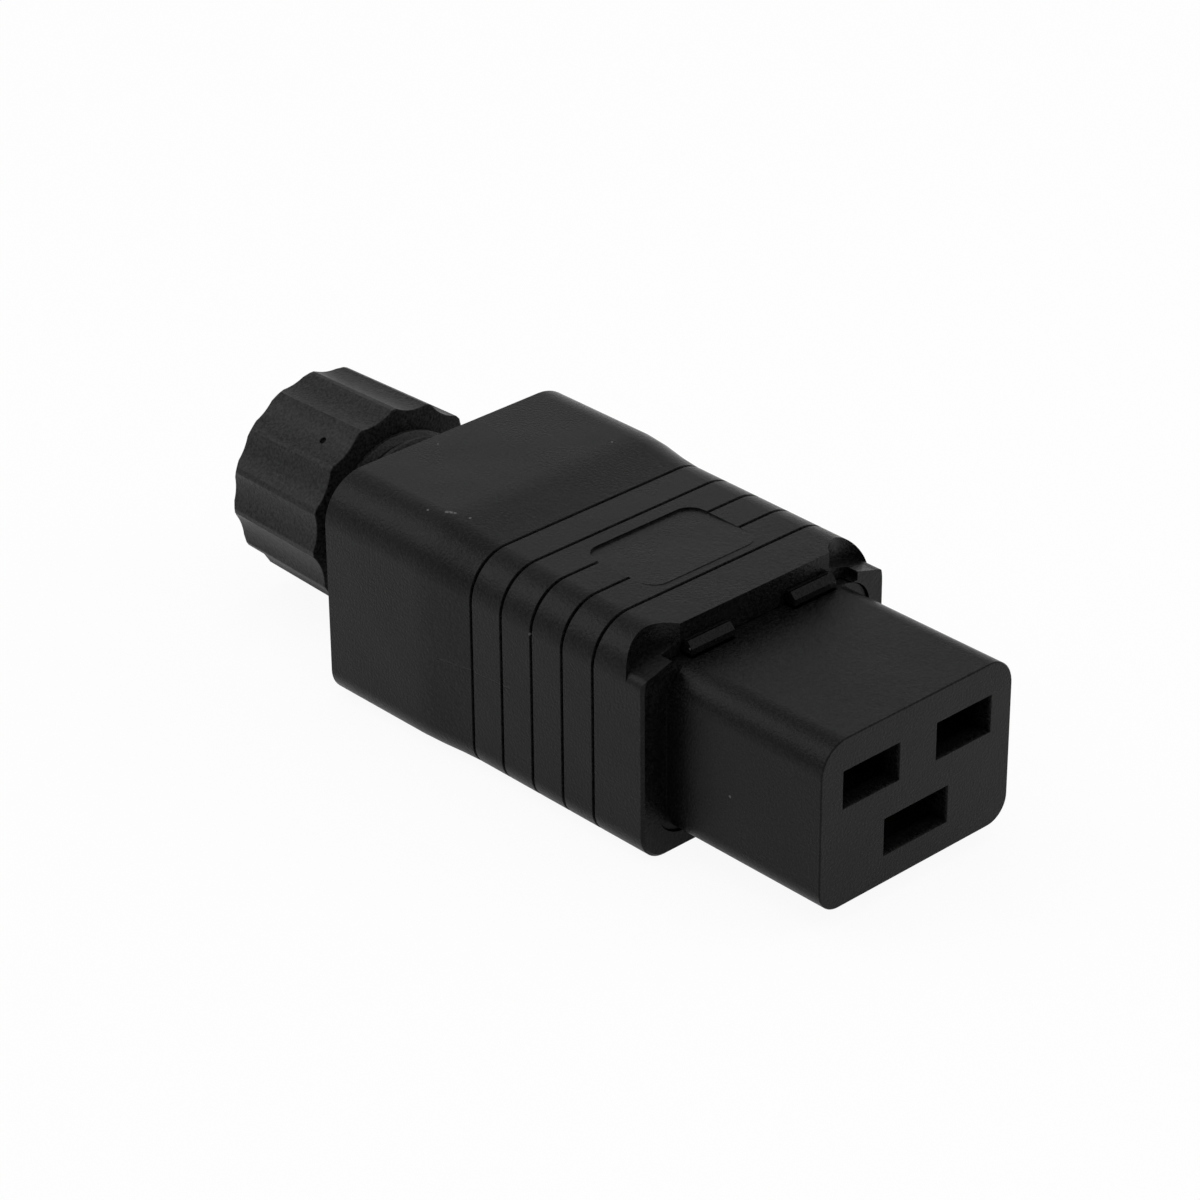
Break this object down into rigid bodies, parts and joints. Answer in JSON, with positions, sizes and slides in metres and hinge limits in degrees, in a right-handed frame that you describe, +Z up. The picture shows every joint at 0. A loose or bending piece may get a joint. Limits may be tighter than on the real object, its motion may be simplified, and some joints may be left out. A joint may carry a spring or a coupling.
{
  "type": "c19 power connector",
  "caption": "Rewireable C19 power connector with a ribbed black shell, snap-in contact carrier and a slackened fluted gland nut, without a cord.",
  "frame": {"origin": "centre of the mating face at the front of the nose", "axes": "+X the way the connector plugs in, +Z up with the latches, lip and label field on top, +Y across the connector"},
  "size_m": [0.0918, 0.0354, 0.0257],
  "materials": {
    "shell_plastic": "fine satin moulding",
    "carrier_plastic": "satin moulding",
    "nut_plastic": "satin moulding",
    "gland_plastic": "satin moulding",
    "seal_rubber": "soft matt rubber",
    "contact_brass": "stamped, uncoated",
    "spring_steel": "spring steel",
    "screw_steel": "zinc plated"
  },
  "bodies": {
    "root": {"housing_shell": "shell_plastic", "contact_carrier": "carrier_plastic", "carrier_rear_cover": "carrier_plastic", "rear_cover_screw": "screw_steel", "gland_seal": "seal_rubber", "gland_collet": "gland_plastic", "gland_washer": "gland_plastic", "gland_nut": "nut_plastic", "line_contact": "contact_brass", "line_contact_spring": "spring_steel", "line_clamp_frame": "contact_brass", "line_pressure_plate": "screw_steel", "line_terminal_screw": "screw_steel", "neutral_contact": "contact_brass", "neutral_contact_spring": "spring_steel", "neutral_clamp_frame": "contact_brass", "neutral_pressure_plate": "screw_steel", "neutral_terminal_screw": "screw_steel", "earth_contact": "contact_brass", "earth_contact_spring": "spring_steel", "earth_clamp_frame": "contact_brass", "earth_pressure_plate": "screw_steel", "earth_terminal_screw": "screw_steel"}
  },
  "joints": []
}
